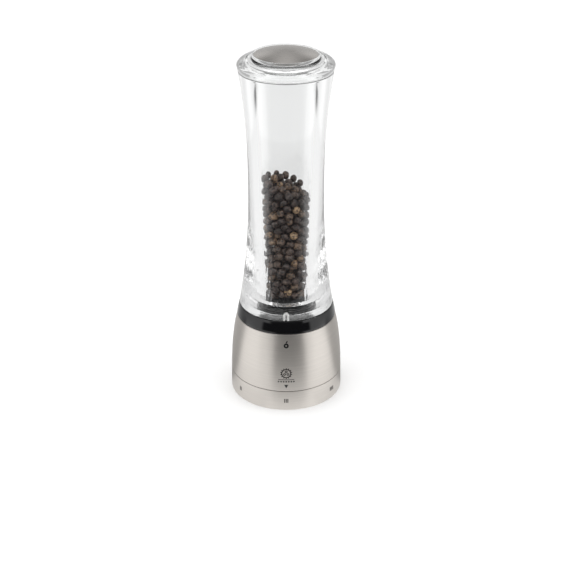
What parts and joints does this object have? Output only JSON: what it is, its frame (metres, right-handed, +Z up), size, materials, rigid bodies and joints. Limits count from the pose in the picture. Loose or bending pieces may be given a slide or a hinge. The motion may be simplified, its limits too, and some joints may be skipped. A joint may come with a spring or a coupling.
{
  "type": "pepper mill",
  "caption": "Tall waisted pepper mill: clear reservoir with peppercorns, brushed steel base and cap disc, black collar, and a ring at the foot that sets the grind.",
  "frame": {"origin": "centre of the foot, on the surface that the mill stands on", "axes": "+Z up along the mill's axis, -Y towards the front, where the index key is"},
  "size_m": [0.0666, 0.0666, 0.2093],
  "materials": {
    "brushed_skin": "satin",
    "bright_steel": "polished",
    "burr_steel": "satin",
    "spring_steel": "satin",
    "clear_acrylic": "polished",
    "gloss_black": "gloss",
    "matte_black": "matte",
    "white_plastic": "satin",
    "black_rubber": "matte",
    "clear_silicone": "satin",
    "foam_pad": "matte",
    "peppercorn": "matte"
  },
  "bodies": {
    "base": {"base_shell": "brushed_skin", "base_housing": "matte_black", "funnel": "matte_black", "bearing_ring": "white_plastic", "slip_washer": "white_plastic", "stator_burr": "burr_steel", "stator_screw_1": "bright_steel", "stator_screw_2": "bright_steel", "stator_screw_3": "bright_steel", "detent_ball": "bright_steel", "detent_spring": "spring_steel", "adjuster_snap_ring": "spring_steel"},
    "adjuster": {"adjuster_skin": "brushed_skin", "adjuster_carrier": "matte_black"},
    "bridge": {"thrust_bridge": "bright_steel", "thrust_ball": "bright_steel"},
    "reservoir": {"reservoir": "clear_acrylic", "collar": "gloss_black", "collar_snap_ring": "spring_steel", "drive_spider": "matte_black", "drive_shaft": "bright_steel", "shaft_nut": "bright_steel", "spring_washer": "bright_steel", "neck_seal": "black_rubber", "index_key": "white_plastic", "peppercorn_fill": "peppercorn"},
    "rotor": {"rotor_burr": "burr_steel", "burr_spring": "spring_steel"},
    "cap": {"cap_ring": "clear_acrylic", "cap_dome": "brushed_skin", "cap_bond_pad": "foam_pad", "cap_seal": "clear_silicone"}
  },
  "joints": [
    {"name": "reservoir_turn", "type": "hinge", "parent": "base", "child": "reservoir", "pos_m": [0, 0, 0.046], "axis": [0, 0, 1], "continuous": true},
    {"name": "cap_lift", "type": "slide", "parent": "reservoir", "child": "cap", "axis": [0, 0, 1], "range_m": [0, 0.025]},
    {"name": "adjuster_turn", "type": "hinge", "parent": "base", "child": "adjuster", "pos_m": [0, 0, 0.009], "axis": [0, 0, 1], "range_deg": [-165, 110]},
    {"name": "bridge_lift", "type": "slide", "parent": "adjuster", "child": "bridge", "axis": [0, 0, 1], "range_m": [-0.00121, 0.00081]},
    {"name": "rotor_lift", "type": "slide", "parent": "reservoir", "child": "rotor", "axis": [0, 0, 1], "range_m": [-0.00121, 0.00081], "deforming": ["burr_spring"]}
  ],
  "couplings": [
    {"joint": "bridge_lift", "follows": "adjuster_turn", "m_per_rad": 0.0004167},
    {"joint": "rotor_lift", "follows": "adjuster_turn", "m_per_rad": 0.0004167}
  ]
}
